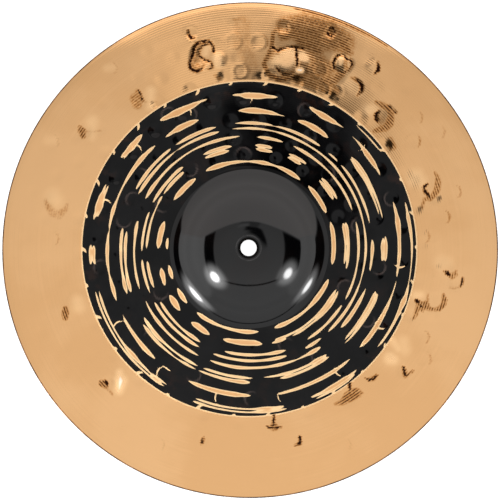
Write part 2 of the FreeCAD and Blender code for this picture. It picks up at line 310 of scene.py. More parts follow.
def mark_depth(x, y):
    """How far hammering pushes the face down at each point."""
    depth = np.zeros_like(x)
    for azimuth, radius in RIMMED_MARKS:
        middle_x, middle_y = polar(azimuth, radius)
        across = (np.hypot(x - middle_x, y - middle_y) - RIMMED_RADIUS) / RIMMED_WIDTH
        depth -= RIMMED_HEIGHT * np.clip(1 - across ** 2, 0, None) ** 2
    marks = list(DEEP_MARKS)
    for radius, first, step, width, deep in MARK_RINGS:
        for azimuth in np.arange(first, first + 360, step):
            # strength and azimuth differ a little from mark to mark
            strength = 1 + 0.45 * math.sin(7.3 * azimuth + radius)
            marks.append((azimuth + 0.5 * math.sin(3.1 * azimuth), radius, width, deep * strength))
    for azimuth, radius, width, deep in marks:
        middle_x, middle_y = polar(azimuth, radius)
        near = np.clip(1 - ((x - middle_x) ** 2 + (y - middle_y) ** 2) / width ** 2, 0, None)
        depth += deep * near ** 2
    return depth


def unevenness(x, y):
    """Slow waves left by hammering, which die out within 30 mm of the bell and 12 of the rim."""
    height = np.zeros_like(x)
    for turn, length, size in WAVES:
        across = x * math.cos(turn) + y * math.sin(turn)
        height += size * np.sin(2 * math.pi * across / length + 3 * turn)
    radius = np.hypot(x, y)
    return height * np.clip((radius - BELL) / 30, 0, 1) * np.clip((RIM - radius) / 12, 0, 1)


def inside_stroke(x, y, azimuth, radius, stroke):
    """How far inside the stroke's outline each point lies, in mm, negative outside."""
    start_x, start_y = polar(azimuth, radius)
    away_x, away_y = x - start_x, y - start_y
    inside = np.full_like(x, -FAR)
    for (x1, y1, width1), (x2, y2, width2) in zip(stroke, stroke[1:]):
        along_x, along_y = x2 - x1, y2 - y1
        length = along_x ** 2 + along_y ** 2
        part = np.clip(((away_x - x1) * along_x + (away_y - y1) * along_y) / length, 0, 1)
        distance = np.hypot(away_x - x1 - part * along_x, away_y - y1 - part * along_y)
        inside = np.maximum(inside, (width1 + part * (width2 - width1)) / 2 - distance)
    return inside


def soft_strokes(x, y, strokes, softness):
    """Strength of strokes at each point, from 0 to 1, fading over a share of their width."""
    amount = np.zeros_like(x)
    for azimuth, radius, strength, stroke in strokes:
        widest = max(width for _, _, width in stroke)
        inside = inside_stroke(x, y, azimuth, radius, stroke)
        amount = np.maximum(amount, strength * smooth(inside / (softness * widest), *FADE))
    return amount


def painted_glint_lines(x, y):
    """Strength of the painted glint, a fine lighter line along one side of each rimmed mark."""
    amount = np.zeros_like(x)
    for azimuth, radius in RIMMED_MARKS:
        middle_x, middle_y = polar(azimuth, radius)
        away_x, away_y = x - middle_x, y - middle_y
        across = (np.hypot(away_x, away_y) - RIMMED_RADIUS) / GLINT_WIDTH
        turned = np.arctan2(away_y, away_x) - radius  # the side differs from mark to mark
        line = np.clip(1 - across ** 2, 0, 1) * np.clip(np.cos(turned) + 0.2, 0, 1)
        amount = np.maximum(amount, line)
    return amount


def crease_inside(x, y):
    inside = np.full_like(x, -FAR)
    for azimuth, radius, stroke in CREASES:
        inside = np.maximum(inside, inside_stroke(x, y, azimuth, radius, stroke))
    return inside


# ---- cuts through the patina

# Each cut follows the lathe's slow spiral: (azimuth, radius, width) along it, with no width at
# its pointed ends.
CUTS = [
    # against the foot of the bell
    [(171.7, 67), (176, 67, 2.3), (181, 67)],
    [(191.3, 66.7), (196.5, 66.8, 3.4), (202, 67)],
    [(208.3, 66.5), (215, 66.9, 4), (221.5, 67.2)],
    [(230.3, 66.8), (236, 67, 3.3), (243, 66.9, 2.8), (250, 66.9, 1.9), (258, 67, 2.4), (269, 67.5, 3.6),
     (276.8, 67.8)],
    [(287.3, 67.3), (293, 67.3, 3.6), (302, 67.5, 2.6), (312, 67.8, 2), (325, 68.1, 4), (333, 68.6, 3.5),
     (339.5, 69)],
    [(349, 68.5), (354, 68.6, 3.3), (364, 68.8, 3.6), (372, 69.3, 3.5), (378.5, 69.5)],
    # second turn
    [(24.6, 69), (30, 69.3, 3.7), (40, 69.8, 3.9), (47.3, 70.2)],
    [(53, 69.8), (61, 70.3, 3.8), (67, 70.7, 3), (72.5, 70.8, 1.4), (81, 71.1, 3.3), (86, 71.2, 2.4),
     (90.5, 71.2, 1.3), (100, 71.6, 2.6), (111, 72.1, 4.2), (119.6, 72.8)],
    [(126.8, 72), (133, 72.3, 4.1), (140, 72.5, 4.3), (147.3, 73.2)],
    [(161.7, 72.6), (168, 73, 4.6), (175, 73.5, 4.4), (179.9, 74.1)],
    [(192, 73.4), (196.5, 73.7, 4.2), (200, 74.1, 3.2), (203.8, 74.9)],
    [(209.8, 74.8), (215.5, 74.8, 5.2), (222, 75.5)],
    [(231.5, 76), (236, 75.5, 4.8), (240, 76, 4.6), (245.5, 76.8)],
    [(253.6, 76.5), (258, 76.3, 3.6), (266, 76.2, 4.9), (273, 76.5, 4.6), (278, 78)],
    [(282.8, 78.7), (288, 78.7, 2.4), (292.7, 79)],
    [(285.5, 76.8), (289, 77.3, 2.6), (294, 76.9, 1.8), (303, 76.9, 1.3), (312, 77, 1.6), (320, 77.7, 3),
     (328, 77.6, 3), (335.4, 77.9)],
    [(296, 78.8), (301, 79, 1.8), (310, 79, 1.4), (318, 79.6, 2.6), (325, 80, 3.2), (331, 80.2, 2.2),
     (334.7, 80)],
    [(347, 80.4), (353, 80.7, 1.8), (360, 80.8, 1.9), (367, 80.9, 2.2), (372, 81.2, 2.6), (375.7, 81.3)],
    [(350.4, 78.3), (355, 78.2, 1.8), (362, 78.3, 1.4), (367, 78.9, 2.8), (372, 79, 3), (375.5, 79.2)],
    # third turn, in pairs
    [(29.2, 82.1), (34, 82.3, 2.6), (41, 82.5, 2.6), (45, 82.3)],
    [(30, 79.3), (34, 79.5, 2.8), (40, 79.6, 2.6), (44.9, 79.8)],
    [(55.6, 83.2), (60, 83.6, 2.5), (64, 83.8, 2.4), (67.5, 83.7)],
    [(58.2, 80.6), (61.5, 80.9, 3), (65, 81.2, 2.4), (67.5, 81.1)],
    [(76.8, 84.2), (79.5, 84.5, 2.6), (84, 84.7, 2.5), (87, 84.6)],
    [(76, 81.3), (79.5, 81.2, 2.6), (83, 81.5, 3.2), (86.4, 81.8)],
    [(99.3, 84.9), (104, 85.2, 2.9), (111, 85.3, 2.8), (116.3, 85.5)],
    [(101.3, 81.7), (105.5, 81.7, 3.1), (111, 82.1, 3), (116.5, 82.4)],
    [(128.5, 86), (132, 86.2, 2.6), (140, 86.2, 2.4), (148, 86.7, 2.5), (155.2, 87.2)],
    [(129.9, 82.4), (133, 82.4, 2.6), (140, 82.6, 2.6), (147.5, 82.9)],
    [(148.2, 83.1), (151, 83.1, 1.7), (156, 82.9, 0.9), (163, 83.1, 1.4), (170, 83.1, 1.9),
     (175, 83.4, 2.1), (180, 83.7)],
    [(158.5, 87), (163, 87, 1.6), (170, 87, 1.9), (176, 87.3, 2), (181.5, 87.5)],
    [(185.2, 87.8), (189, 87.9, 2.1), (196, 88, 2.2), (204.3, 88.4)],
    [(186.5, 83.5), (190, 83.6, 2.3), (197, 83.7, 2.6), (202.4, 83.9)],
    [(209.2, 88.4), (213, 88.6, 2.2), (222, 88.9, 2.4), (231, 89.1, 2), (237, 89.4, 2.7), (243.2, 89.7)],
    [(210, 84.2), (215, 84.4, 2.4), (223, 84.6, 2), (229, 84.9, 1.6), (237, 85, 3), (242.6, 85.6)],
    [(250.3, 90), (255, 90.3, 1.9), (262, 90.6, 2), (269, 91, 2.4), (276, 91.3, 1.9), (284, 91.7, 2.8),
     (290, 92)],
    [(256.2, 85.7), (261, 85.9, 2.3), (270, 86.2, 2.5), (277, 86.6, 1.7), (285, 87.1, 3), (290, 87.6)],
    [(298.8, 92.7), (303.5, 93, 2.7), (309.3, 93)],
    [(302.2, 87.3), (308, 87.5, 2.3), (315, 87.6, 1.8), (321, 87.7, 2.5), (330, 88.1)],
    [(331.5, 88.2), (337, 88.4, 1.9), (345, 88.6, 1.5), (352, 88.7, 1.3), (358, 88.9, 2), (366, 89.1, 2.2),
     (374.7, 89.6)],
    [(20.2, 89.5), (26, 89.8, 1.8), (36, 90.1, 1.9), (45, 90.3, 1.2), (52, 90.4, 1.8), (60, 90.7, 2.6),
     (67.2, 91.2)],
    [(72.2, 91.3), (77, 91.4, 2.2), (81, 91.5, 2.7), (86.3, 91.6)],
    # fourth turn, the longest cuts
    [(94.4, 92.2), (100, 92.2, 1.8), (107, 92.2, 2.6), (113, 92.5, 2), (120, 92.8, 1.1), (126, 92.8, 1.3),
     (133, 93, 1.9), (141, 93.1, 2), (148, 93.6, 3.2), (154.6, 94)],
    [(165.2, 93.7), (170, 93.7, 2.7), (176, 93.6, 1.8), (181, 93.9, 1.4), (188, 94.2, 1.5), (194, 94.6, 2),
     (200.7, 95)],
    [(204.8, 94.7), (208, 94.6, 1), (213, 94.9, 1.8), (218, 95, 2.7), (225, 95.2, 1.8), (232, 95.5, 1.7),
     (239, 95.8, 2.2), (244.8, 96.2)],
    [(250.3, 96.1), (255, 96.4, 2), (264, 96.8, 2.8), (272, 96.8, 2), (279, 97.1, 1.9), (285, 97.3, 2.7),
     (290, 97.7, 1.7), (293.5, 97.9, 0.9), (297, 98, 1.6), (302, 98.3, 3.4), (306.4, 98.6)],
    [(312.6, 92.9), (321, 93, 2.6), (330, 93.4, 2.2), (338, 93.9, 1.6), (345, 94, 0.9), (352, 94.4, 1.4),
     (359, 94.8, 2), (366, 95, 1.7), (372, 95.1, 1), (379, 95.4, 1.6), (387, 95.7, 1.8), (395, 96, 2),
     (404, 96.6, 2.1), (412, 96.9, 1.4), (419, 97, 1.4), (427, 97.3, 2), (434, 97.8, 1.8), (438, 98, 0.9),
     (444, 98.2, 1.6), (449, 98.4, 2.1), (454, 98.6, 1.3), (459.7, 98.7)],
    [(318.9, 98.3), (324, 98.6, 3.3), (332, 99, 3), (341.4, 100)],
    [(348.2, 99.5), (354, 99.8, 1.8), (360, 100.2, 2.9), (364.8, 100.4)],
    [(11.2, 100.3), (16, 100.3, 1.5), (22, 100.4, 2.2), (28, 100.6, 1.7), (36, 101.1, 2), (43.8, 101.5)],
    [(44, 101.4), (47, 101.4, 1.5), (52, 101.5)],
    [(54.5, 101.6), (60, 101.8, 2.2), (66, 102, 2.4), (71, 102.2, 2.3), (75, 102.4, 1.5),
     (78.5, 102.4, 0.9), (83, 102.7, 2), (88, 102.8, 2.7), (96.6, 103.1)],
    [(103.8, 98.6), (109, 98.9, 2.6), (116, 99.2, 2.2), (122, 99.5, 1.4), (127, 99.6, 0.9),
     (132, 99.8, 1.6), (140, 99.9, 2.4), (148, 100.4, 2.9), (153.9, 100.9)],
    # fifth turn, in pairs
    [(105.2, 103.1), (110, 103.3, 2.8), (117, 103.5, 3), (125.9, 103.8)],
    [(127.7, 103.8), (131, 103.9, 2.2), (137, 104, 2.3), (145, 104.2, 2.8), (153.3, 104.6)],
    [(170, 104.7), (174, 104.7, 2.5), (180, 104.8, 2.4), (187, 105.1, 1.8), (191, 105.2, 1.8),
     (196, 105.8, 3.1), (200.3, 106)],
    [(171.5, 100.9), (176, 101, 2.5), (182, 101.2, 2.4), (188, 101.6, 1.6), (192, 101.9, 2.2),
     (197, 102.3, 3), (200.4, 102.6)],
    [(215.3, 106), (219, 106.3, 2.5), (225, 106.5, 2.6), (231, 106.7, 1.7), (236, 106.9, 1), (241, 107, 2),
     (246.2, 107.2)],
    [(212.6, 102.3), (217, 102.6, 2.7), (223, 102.9, 2.7), (230, 103.2, 1.7), (235, 103.4, 1.4),
     (241, 103.7, 2.4), (246.2, 104.1)],
    [(247.2, 107), (250, 107.1, 1.6), (256, 107.4, 2.2), (263, 108, 2.8), (267, 108.4, 3.2),
     (270.7, 108.6)],
    [(248.2, 103.7), (253, 103.9, 2), (259, 104.2, 1.9), (265, 104.6, 2.4), (271.8, 105.3)],
    [(276.1, 105.2), (281, 105.4, 1.6), (286, 105.6, 2.4), (292, 105.9, 1.8), (297, 106, 1.8),
     (301, 105.9, 3), (306.8, 106.6)],
    [(283.2, 108.3), (287, 108.3, 2.6), (293, 108.6, 2), (298, 108.8, 2), (302, 108.3, 3), (306.7, 109)],
    [(314.4, 109.4), (318, 109.5, 1.2), (325, 109.8, 1.7), (332, 110.2, 2), (337, 110.6, 2.4),
     (341.4, 110.6)],
    [(315.9, 106.8), (321, 107, 2), (327, 107.2, 2.4), (333, 107.7, 3), (338, 108.2, 2.8), (341.8, 108.5)],
    [(354.6, 111), (357, 110.9, 2.8), (361, 111, 3.2), (365.4, 111.2)],
    [(354.2, 108.6), (357, 108.6, 2.2), (361, 108.5, 3), (364.7, 109.2)],
    # sixth turn
    [(11.4, 111.6), (15, 111.5, 1.1), (21, 111.6, 1.2), (27, 111.8, 1.6), (33, 112.2, 2.4),
     (38, 112.3, 2.6), (42.2, 112)],
    [(14.3, 109.4), (18, 109.3, 1.3), (24, 109.2, 1.8), (30, 109.6, 2), (36, 109.8, 2.8), (42.6, 110.8)],
    [(54.6, 111), (58, 111.8, 3.8), (62, 112.1, 4.8), (66, 112.4, 3.6), (69.7, 111.8)],
    [(74, 111.8), (77, 112, 1), (81, 112.6, 3.2), (88, 113.1, 5), (94.7, 113.3)],
    [(111.3, 113.3), (116, 113.7, 4.4), (120, 114, 4.9), (124, 114.1, 2.4), (127, 114)],
    [(132.2, 114.2), (136, 114.6, 2.7), (140, 114.9, 3.8), (147, 115, 2.8), (154, 115.1, 1.3),
     (159, 115.2, 1.4), (164, 115.6, 3.2), (169, 115.6, 1.8), (172.5, 115.5, 0.9), (175, 115.7, 1.7),
     (180, 115.9, 3), (185, 116.2, 2.4), (190, 116, 1.2), (196, 115.7, 3.2), (201.4, 116.3)],
    [(206.4, 116.7), (208, 116.6, 0.9), (211, 116.8, 2.2), (217, 117.1, 2.8), (223, 117.6, 3.8),
     (229.9, 117.8)],
    [(233.3, 118.3), (235.5, 118.4, 1.2), (237.8, 118.6)],
    [(245.1, 118.2), (250, 118.4, 3.2), (257, 118.6, 4), (264, 118.9, 4.2), (268, 119.1, 2.6),
     (270.7, 119.4)],
    [(280.4, 120.6), (284, 120.2, 2), (291, 120.1, 2.6), (299, 120.5, 3), (304, 120.9, 3.2),
     (308, 121.2, 2.2), (312.6, 121.2)],
    [(318.1, 120.4), (323, 121, 3.8), (330, 121.1, 4), (336, 121.5, 2.9), (341, 121.9, 1.4),
     (345, 122.2, 0.9), (348, 122.4)],
    # seventh turn, out to the edge of the patina
    [(348.3, 121.9), (352, 122, 1.6), (357, 122.2, 2.8), (363, 122.3, 2.7), (370, 122.9, 4.3),
     (374, 123.1, 2.4), (378.2, 123.3)],
    [(29.2, 122.5), (31.5, 122.9, 1.8), (35, 123, 3.9), (39, 123.2, 4.2), (43, 124.2, 1.9),
     (46, 124.6, 0.9), (49.2, 124.8)],
    [(51.2, 125), (54, 124.9, 1.2), (57, 124.4, 3.8), (61, 124.2, 5.2), (65, 124.9, 3), (67.3, 126)],
    [(79.3, 126.2), (82, 125.7, 2.6), (87, 125.2, 5.2), (91, 125.4, 5), (94, 126.3, 2), (96.6, 126.7)],
    [(105.3, 127.1), (108, 127.1, 1.8), (112, 126, 4.5), (118, 126.2, 5.9), (122, 127, 3.8), (125, 128)],
    [(132.9, 128.3), (136, 127.7, 4.2), (139, 127.4, 5.4), (142, 127.8, 3.6), (144.7, 128.8)],
    [(141, 126.6), (142.4, 126.5, 1.4), (144.3, 126.4)],
    [(155.2, 128.7), (158, 128.4, 1.8), (161, 127.9, 5), (164, 127.6, 6.2), (167, 128.9, 2.4),
     (169.3, 129.5)],
    [(155.6, 126.3), (159, 126.5, 2), (164, 126.4, 3.4), (168.4, 126.9)],
    [(178.2, 129.6), (181, 129.6, 3), (183.5, 129.9, 2.4), (185.9, 130)],
    [(178.5, 127), (181, 127.6, 3.6), (183.5, 127.4, 2.6), (186, 126.6)],
    [(194.9, 130.1), (199, 130.5, 1.6), (208, 130.8, 1.4), (216, 131.2, 1.3), (222, 131.4, 1.9),
     (230, 131.5, 1.4), (235, 131.7, 1.8), (238.7, 131.7)],
    [(195.4, 127.5), (199, 127.6, 1.8), (207, 127.9, 1.5), (213, 128.2, 1.3), (217, 128.5, 1.8),
     (222, 128.2, 3.4), (227, 128.6, 1.8), (231, 129.1, 1.1), (235, 129, 1.8), (238.9, 129.3)],
    [(231.8, 130.4), (234.2, 130.4, 2.6), (236.6, 130.4)],
    [(248.9, 131.9), (252, 132.2, 1.8), (260, 132.5, 1.4), (270, 133, 1.2), (276, 132.8, 2.8),
     (280, 133.3, 2), (283.4, 133.3)],
    [(249.9, 129.1), (253, 129.4, 1.7), (260, 129.9, 1.5), (270, 130.3, 1.3), (276, 130.5, 3),
     (280, 130.8, 1.8), (283.3, 131)],
    [(274, 131.8), (276.5, 131.8, 3), (279, 131.8)],
    [(291.8, 130.8), (296, 131, 2.2), (301, 131.1, 3.8), (306, 131.3, 3.6), (309, 131.6, 2),
     (311.8, 131.6)],
    [(293.8, 133.3), (297, 133.3, 1.6), (302, 133.2, 2.8), (306, 133.4, 2.4), (310, 133.4)],
    [(322.2, 131.6), (326, 131.8, 1.8), (333, 132.1, 2.2), (338, 132.2, 3), (341, 132.6, 4.4),
     (344, 133, 2.4), (348, 132.8, 1), (355, 132.5, 1), (362, 132.4, 1.8), (367, 132.1, 2.6),
     (371, 131.9, 3), (374, 132.3, 1.6), (377.2, 132.7)],
    [(35.8, 133.2), (40, 133.2, 1.3), (46, 133.1, 1.1), (50, 133.2)],
]

# The dark zone's outer edge: radius at azimuths 0, 45, 90 and so on.
PATINA_EDGE = (136, 136.2, 137, 137, 136.5, 136.5, 136, 135.8)

# Bright crescents on the rims of hammer marks: (azimuth, radius) of the mark's middle, its
# radius, the middle direction and half span of the crescent, and its width. The direction
# turns from 0, forwards round the disc, to 90, outwards.
MARK_RADIUS = 6.4
CRESCENTS = [(azimuth, 123.2, MARK_RADIUS, 180, 58, wide)
             for azimuth, wide in [(92, 1.1), (116, 1.3), (140, 1.4), (164, 1.5), (212, 1.4),
                                   (236, 1.4), (260, 1.3), (284, 0.9), (308, 1.3), (331.6, 1.5),
                                   (356, 1.5), (44.5, 0.9)]]
CRESCENTS += [(azimuth, 139.6, MARK_RADIUS, 222, 38, 2.1) for azimuth in range(110, 260, 24)]
CRESCENTS += [(azimuth, 141.0, MARK_RADIUS, 228, 34, 1.7) for azimuth in range(2, 362, 24)]
CRESCENTS += [(azimuth, 140.6, MARK_RADIUS, 226, 34, 1.8) for azimuth in range(278, 460, 24)]


def cut_width(azimuth, along, widths):
    """Width of a cut: pointed ends and smooth swells between the given widths."""
    last = len(along) - 2
    index = np.clip(np.searchsorted(along, azimuth) - 1, 0, last)
    part = np.clip((azimuth - along[index]) / (along[index + 1] - along[index]), 0, 1)
    start, end = widths[index], widths[index + 1]
    swell = start + (end - start) * smooth(part)
    from_tip = np.where(index == 0, part, 1 - part)
    point = np.maximum(start, end) * np.sin(from_tip * math.pi / 2) ** 0.75
    return np.where((index == 0) | (index == last), point, swell)


def inside_cut(radius, azimuth, cut):
    """How far inside a cut's outline each point lies, in mm, negative outside."""
    along, radii = (np.array([point[axis] for point in cut], float) for axis in (0, 1))
    widths = np.array([0, *(width for _, _, width in cut[1:-1]), 0], float)
    here = np.where(azimuth < along[0] - 90, azimuth + 360, azimuth)  # a cut may run past 360
    across = np.abs(radius - np.interp(here, along, radii))
    beyond = np.maximum(along[0] - here, here - along[-1]).clip(0) * np.radians(radius)
    inside = cut_width(here, along, widths) / 2 - across
    return np.where(beyond > 0, -np.hypot(beyond, across), inside)


def inside_crescent(radius, azimuth, middle, mark_at, mark_radius, turned, span, width):
    """The same for a crescent."""
    ahead = np.radians((azimuth - middle + 180) % 360 - 180) * mark_at
    outward = radius - mark_at
    direction = (np.degrees(np.arctan2(outward, ahead)) - turned + 180) % 360 - 180
    narrow = np.clip(1 - (direction / span) ** 2, -1, 1) * width / 2
    return narrow - np.abs(np.hypot(ahead, outward) - mark_radius)


def bare_metal(x, y):
    """Distance in mm from each point to the edge of bare bronze, positive on the bronze."""
    radius = np.hypot(x, y)
    azimuth = np.degrees(np.arctan2(y, x)) % 360
    bare = radius - np.interp(azimuth, np.arange(0, 361, 45), PATINA_EDGE + PATINA_EDGE[:1])
    for cut in CUTS:
        bare = np.maximum(bare, inside_cut(radius, azimuth, cut))
    for crescent in CRESCENTS:
        bare = np.maximum(bare, inside_crescent(radius, azimuth, *crescent))
    return bare


# ---- the mesh

FINE, HALF, MEDIUM, COARSE = 720, 360, 240, 120  # points round a ring
CUT_DEPTH = 0.04  # how far the lathe's cuts sit below the patina
CUT_SIDE = (-0.3, 0.6)  # where a cut's side starts and ends, as for a crease
BACK_MARKS, BACK_REFLECTIONS = 0.7, 0.5  # how strongly these show on the underside
RIM_BAND, RIM_BAND_DROP = 4.2, 0.09  # width and extra drop of the turned band at the rim
EDGE_LINE = 0.9  # width of the dull line round the top of the rim
SHADED_RING = 8.6  # outer radius of the dull ring round the hole, painted near black as a dark reflection
HOLE_EDGE_RADIUS = HOLE + HOLE_BEVEL

# Bands of rings: radius of the first, about how far apart they are, points round each.
FACE_BANDS = [(9.6, 1.6, COARSE), (21, 2.1, HALF), (61, 0.95, HALF), (98, 1.0, FINE),
              (138.5, 1.32, FINE), (174, 1.6, FINE), (187, 2.4, FINE), (RIM - RIM_BAND, 1.1, FINE)]
BACK_BANDS = [(RIM - 3, 7, MEDIUM), (BELL, 3.2, MEDIUM), (22, 3, COARSE)]
BACK_BANDS_END = 8


def spaced(start, stop, step):
    """Evenly spaced values from start up to stop, without stop."""
    count = max(1, round(abs(stop - start) / step))
    return start + (stop - start) * np.arange(count) / count


def banded(bands, stop):
    """Radius and point count of each ring in the bands, the last of which ends at stop."""
    starts = [start for start, _, _ in bands] + [stop]
    return [(radius, count) for (start, step, count), end in zip(bands, starts[1:])
            for radius in spaced(start, end, step)]


def face_rings():
    """The rings on the top, from the hole's bevel to the rim."""
    inner = [(radius, COARSE) for radius in (HOLE_EDGE_RADIUS, HOLE_EDGE_RADIUS + 0.3, SHADED_RING)]
    outer = [(RIM - EDGE_LINE, FINE), (RIM - RIM_ROUND, FINE)]
    return inner + banded(FACE_BANDS, RIM - EDGE_LINE) + outer


def back_rings():
    """The rings on the underside, from the rim back to the hole's lower bevel."""
    outer = [(RIM - RIM_ROUND, FINE), (RIM - 0.7, MEDIUM)]
    inner = [(HOLE_EDGE_RADIUS + 0.25, COARSE), (HOLE_EDGE_RADIUS, COARSE)]
    return outer + banded(BACK_BANDS, BACK_BANDS_END) + inner


def spread(rings):
    """Radius, x and y of every point of the given rings."""
    radius = np.concatenate([np.full(count, r) for r, count in rings])
    angle = np.concatenate([np.arange(count) * (2 * math.pi / count) for _, count in rings])
    return radius, radius * np.cos(angle), radius * np.sin(angle)


def face_points(rings):
    """Points on the top face, with marks, creases and cuts, and their surface values."""
    radius, x, y = spread(rings)
    tilt = face_tilt(radius)
    bare = bare_metal(x, y)
    crease = crease_inside(x, y)
    band = np.clip((radius - (RIM - RIM_BAND)) / RIM_BAND, 0, 1)
    sink = mark_depth(x, y) + unevenness(x, y) + RIM_BAND_DROP * band
    sink += CUT_DEPTH * smooth(bare, *CUT_SIDE) + CREASE_DEPTH * smooth(crease, *CREASE_SIDE)
    flat = 1 - sink * tilt / radius
    z = face_height(radius) - sink * cosine(tilt)
    painted_reflection = soft_strokes(x, y, PAINTED_REFLECTIONS, REFLECTION_SOFTNESS)
    painted_highlight = soft_strokes(x, y, PAINTED_HIGHLIGHTS, HIGHLIGHT_SOFTNESS)
    return np.column_stack([x * flat, y * flat, z, bare, crease, painted_reflection, painted_highlight,
                            painted_glint_lines(x, y)])


def back_points(rings):
    """Points on the underside, where each mark shows as a softer bump."""
    radius, x, y = spread(rings)
    down = sheet_thickness(radius) + BACK_MARKS * mark_depth(x, y) + unevenness(x, y)
    z = face_height(radius) - down / cosine(face_tilt(radius))
    far = np.full_like(x, -FAR)
    painted_reflection = BACK_REFLECTIONS * soft_strokes(x, y, PAINTED_REFLECTIONS, REFLECTION_SOFTNESS)
    none = np.zeros_like(x)
    return np.column_stack([x, y, z, radius - PATINA_EDGE[0], far, painted_reflection, none, none])


def wall_points(rings, heights):
    """Points on the rim's edge or the hole's wall: rings with a height each."""
    _, x, y = spread(rings)
    z = np.concatenate([np.full(count, height) for (_, count), height in zip(rings, heights)])
    bare, far, none = np.ones_like(x), np.full_like(x, -FAR), np.zeros_like(x)
    return np.column_stack([x, y, z, bare, far, none, none, none])


def rim_section():
    """Radius and height of the rounded edge's rings, from the top face to the underside."""
    top = float(face_height(RIM)) - RIM_BAND_DROP
    low = NODE_LOW.z / MM
    section = []
    for middle, angles in ((top - RIM_ROUND, (60, 30, 0)), (low + RIM_ROUND, (0, -30, -60))):
        for angle in np.radians(angles):
            section.append((RIM - RIM_ROUND * (1 - math.cos(angle)),
                            middle + RIM_ROUND * math.sin(angle)))
    return section


def strip(first, count, second, other_count):
    """Faces between two rings of points, whose counts divide each other."""
    if count == other_count:
        here = np.arange(count)
        after = (here + 1) % count
        return [tuple(face) for face in np.column_stack(
            [first + here, second + here, second + after, first + after]).tolist()]
    if count > other_count:
        return [face[::-1] for face in strip(second, other_count, first, count)]
    ratio = other_count // count
    faces = []
    for index in range(count):
        a, b = first + index, first + (index + 1) % count
        fine = [second + (index * ratio + step) % other_count for step in range(ratio + 1)]
        middle = ratio // 2
        faces += [(a, fine[k], fine[k + 1]) for k in range(middle)]
        faces.append((a, fine[middle], b))
        faces += [(b, fine[k], fine[k + 1]) for k in range(middle, ratio)]
    return faces


SURFACE_VALUES = ("bare_metal", "crease", "painted_reflection", "painted_highlight", "outline")
FACE, BELL_FACE, HOLE_EDGE, EDGE, BACK = range(5)  # material slots of the cymbal's mesh
BELL_EDGE = 64.0  # where the bell's finish starts


def face_slot(radius):
    if radius < SHADED_RING:
        return HOLE_EDGE
    if radius < BELL_EDGE:
        return BELL_FACE
    return EDGE if radius > RIM - EDGE_LINE - 0.01 else FACE


def build_sheet():
    """All points and values, and each ring's point count and the slot of the strip after it."""
    face, back = face_rings(), back_rings()
    rim = [(radius, FINE) for radius, _ in rim_section()]
    hole = [(HOLE, COARSE)] * 2
    hole_heights = (TOP - BELL_THICKNESS + HOLE_BEVEL, TOP - HOLE_BEVEL)
    points = np.vstack([face_points(face), wall_points(rim, [z for _, z in rim_section()]),
                        back_points(back), wall_points(hole, hole_heights)])
    rings = [(count, face_slot(radius)) for radius, count in face]
    rings += [(count, EDGE) for _, count in rim]
    rings += [(count, BACK) for _, count in back[:-1]]
    rings += [(count, HOLE_EDGE) for _, count in back[-1:] + hole]
    return points, rings


def make_cymbal(materials):
    points, rings = build_sheet()
    starts = np.cumsum([0] + [count for count, _ in rings])
    faces, slots = [], []
    for index, (count, slot) in enumerate(rings):
        after = (index + 1) % len(rings)
        made = strip(int(starts[index]), count, int(starts[after]), rings[after][0])
        faces += made
        slots += [slot] * len(made)
    mesh = bpy.data.meshes.new("cymbal_sheet")
    mesh.from_pydata(points[:, :3] * MM, [], faces)
    for material in materials:
        mesh.materials.append(material)
    mesh.polygons.foreach_set("material_index", slots)
    mesh.polygons.foreach_set("use_smooth", [True] * len(faces))
    for column, name in enumerate(SURFACE_VALUES, start=3):
        values = mesh.attributes.new(name, "FLOAT", "POINT")
        values.data.foreach_set("value", np.ascontiguousarray(points[:, column], np.float32))
    mesh.validate()
    mesh.update()
    piece = bpy.data.objects.new("cymbal_sheet", mesh)
    bpy.context.scene.collection.objects.link(piece)
    return piece


# ---- node helpers

class Value:
    """An output of a shader node. Arithmetic on it adds Math nodes."""

    def __init__(self, graph, socket):
        self.graph = graph
        self.socket = socket

    def __add__(self, other):
        return self.graph.math("ADD", self, other)

    def __sub__(self, other):
        return self.graph.math("SUBTRACT", self, other)

    def __rsub__(self, other):
        return self.graph.math("SUBTRACT", other, self)

    def __mul__(self, other):
        return self.graph.math("MULTIPLY", self, other)

    def __truediv__(self, other):
        return self.graph.math("DIVIDE", self, other)

    def __abs__(self):
        return self.graph.math("ABSOLUTE", self)

    __rmul__ = __mul__


